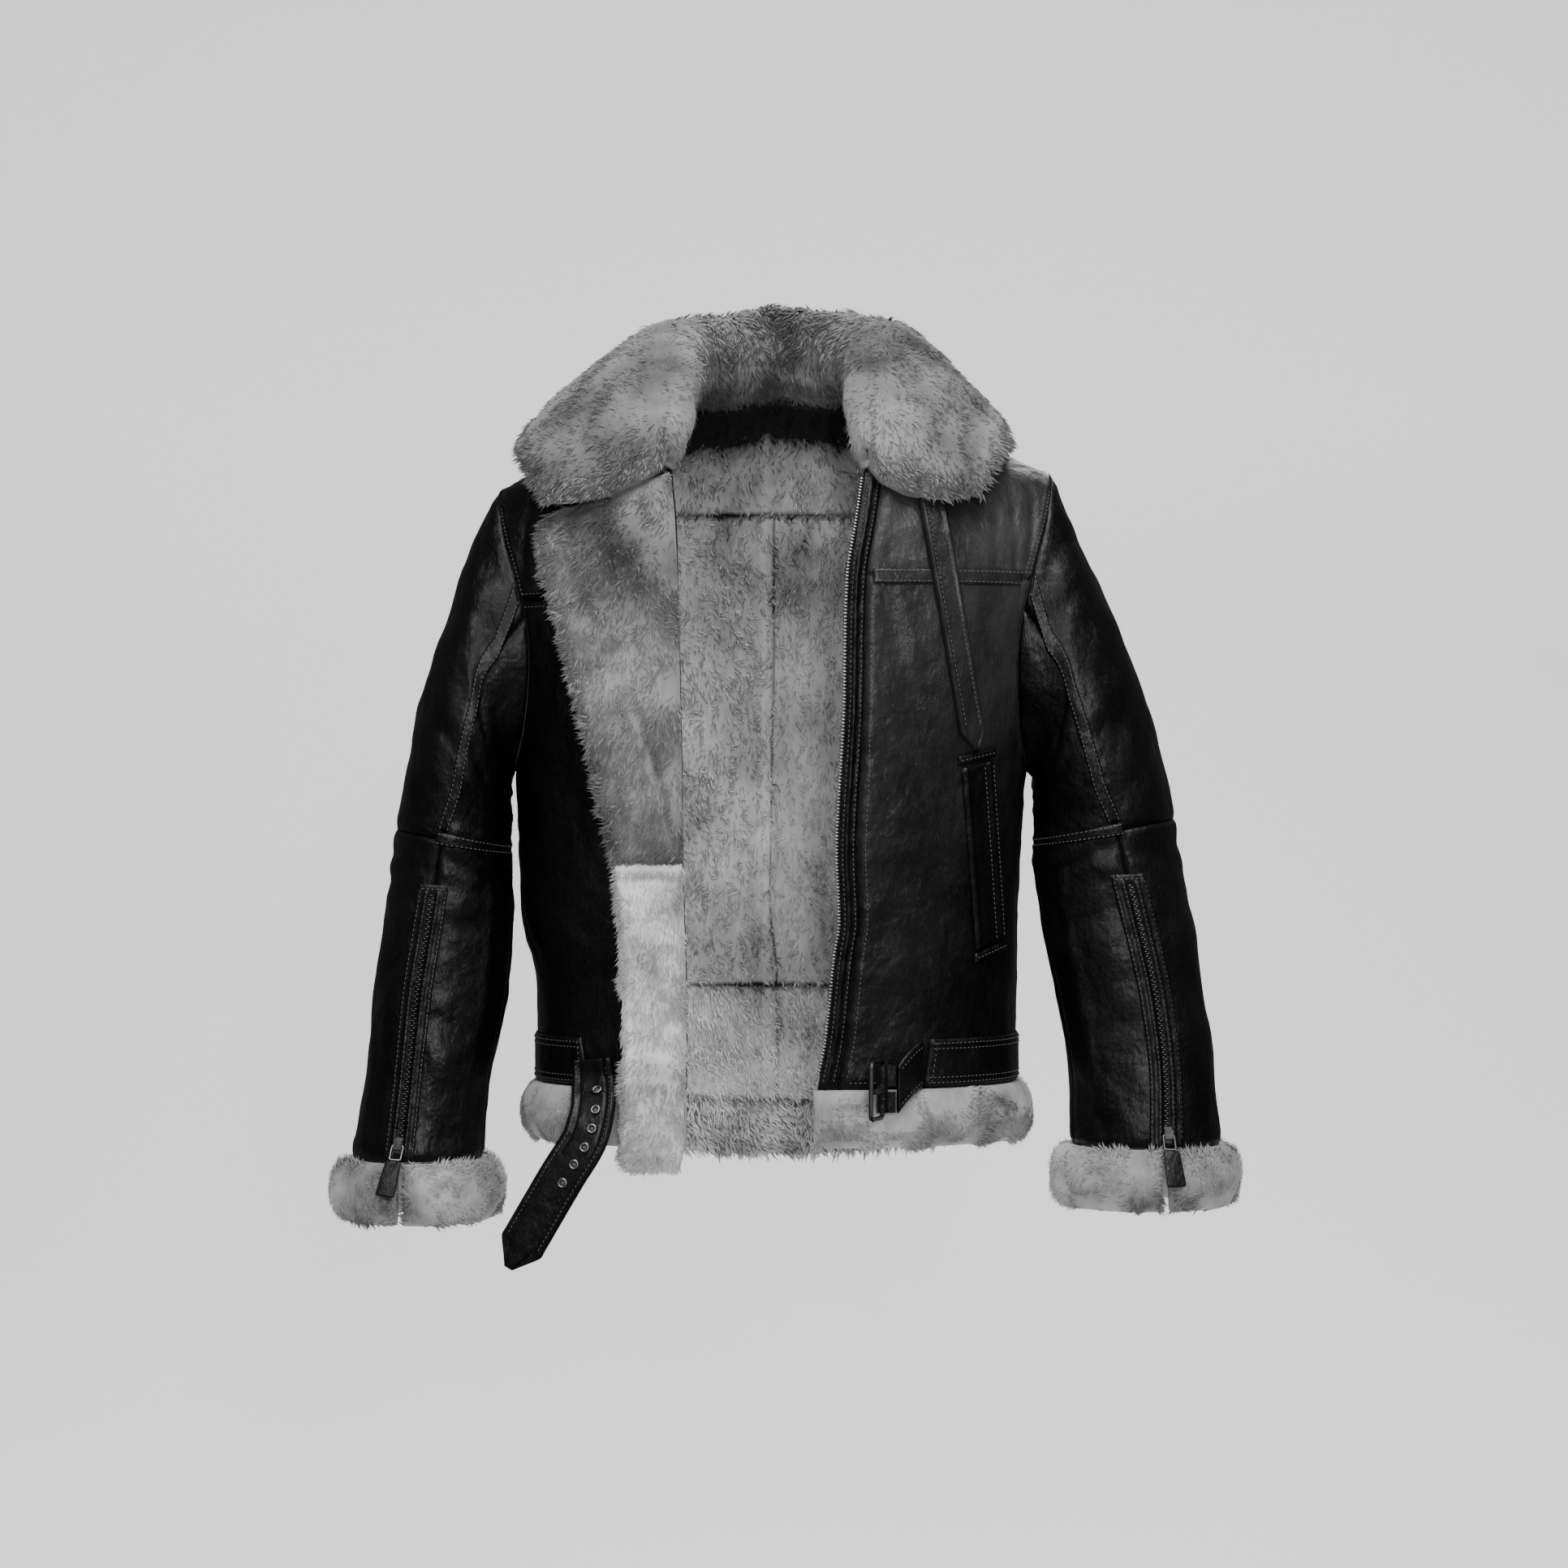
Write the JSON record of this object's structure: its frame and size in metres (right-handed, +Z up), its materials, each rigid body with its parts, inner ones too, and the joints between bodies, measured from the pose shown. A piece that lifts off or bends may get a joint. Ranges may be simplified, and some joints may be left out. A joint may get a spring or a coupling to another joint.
{
  "type": "sheepskin flying jacket",
  "caption": "Short sheepskin flying jacket in black leather over grey wool, filled out as worn and open in front, with a wide rolled fur collar, taped seams, zipped cuffs and a hem belt.",
  "frame": {"origin": "between the shoulder tips, on the shoulder line that carries the jacket", "axes": "+Z up, the front faces -Y, +X is the wearer's left"},
  "size_m": [0.7984, 0.3207, 0.8501],
  "materials": {
    "leather": "glossy, grained",
    "fleece": "deep wool pile",
    "metal": "worn, half polished"
  },
  "bodies": {
    "root": {"back_yoke": "leather", "back_upper_left": "leather", "back_upper_right": "leather", "back_lower_left": "leather", "back_lower_right": "leather", "front_yoke_left": "leather", "front_yoke_right": "leather", "front_panel_left": "leather", "front_panel_right": "leather", "zip_facing_left": "leather", "yoke_tape_left": "leather", "pocket_welt": "leather", "pocket_tab_top": "leather", "pocket_tab_low": "leather", "collar_strap": "leather", "lapel_upper": "fleece", "lapel_lower": "fleece", "hem_fur_left": "fleece", "hem_fur_right": "fleece", "hem_fur_back": "fleece", "collar": "fleece", "belt_tunnel_left": "leather", "belt_tunnel_right": "leather", "belt_strap": "leather", "eyelet_1": "metal", "eyelet_2": "metal", "eyelet_3": "metal", "eyelet_4": "metal", "eyelet_5": "metal", "eyelet_6": "metal", "belt_end_left": "leather", "belt_loop_top": "leather", "belt_loop_low": "leather", "sleeve_upper_outer_left": "leather", "sleeve_upper_inner_left": "leather", "sleeve_fore_outer_left": "leather", "sleeve_fore_inner_left": "leather", "seam_tape_left": "leather", "elbow_tape_left": "leather", "zip_placket_left": "leather", "cuff_left": "fleece", "zip_slider_left": "metal", "sleeve_upper_outer_right": "leather", "sleeve_upper_inner_right": "leather", "sleeve_fore_outer_right": "leather", "sleeve_fore_inner_right": "leather", "seam_tape_right": "leather", "elbow_tape_right": "leather", "zip_placket_right": "leather", "cuff_right": "fleece", "zip_slider_right": "metal"},
    "pull_left": {"pull_link_left": "metal", "pull_tab_left": "leather"},
    "pull_right": {"pull_link_right": "metal", "pull_tab_right": "leather"},
    "buckle": {"buckle_frame": "metal"},
    "prong": {"buckle_prong": "metal"}
  },
  "joints": [
    {"name": "cuff_pull_left", "type": "hinge", "parent": "root", "child": "pull_left", "pos_m": [0.3399, -0.10018, -0.56556], "axis": [-0.9833, -0.18, 0.0266], "range_deg": [0, 110]},
    {"name": "cuff_pull_right", "type": "hinge", "parent": "root", "child": "pull_right", "pos_m": [-0.32221, -0.1008, -0.57441], "axis": [-0.973, 0.2184, 0.0743], "range_deg": [0, 110]},
    {"name": "buckle_swing", "type": "hinge", "parent": "root", "child": "buckle", "pos_m": [0.093, -0.143, -0.522], "axis": [0, 0, 1], "range_deg": [-50, 40]},
    {"name": "prong_swing", "type": "hinge", "parent": "buckle", "child": "prong", "pos_m": [0.093, -0.143, -0.522], "axis": [0, 0, 1], "range_deg": [0, 38]}
  ]
}
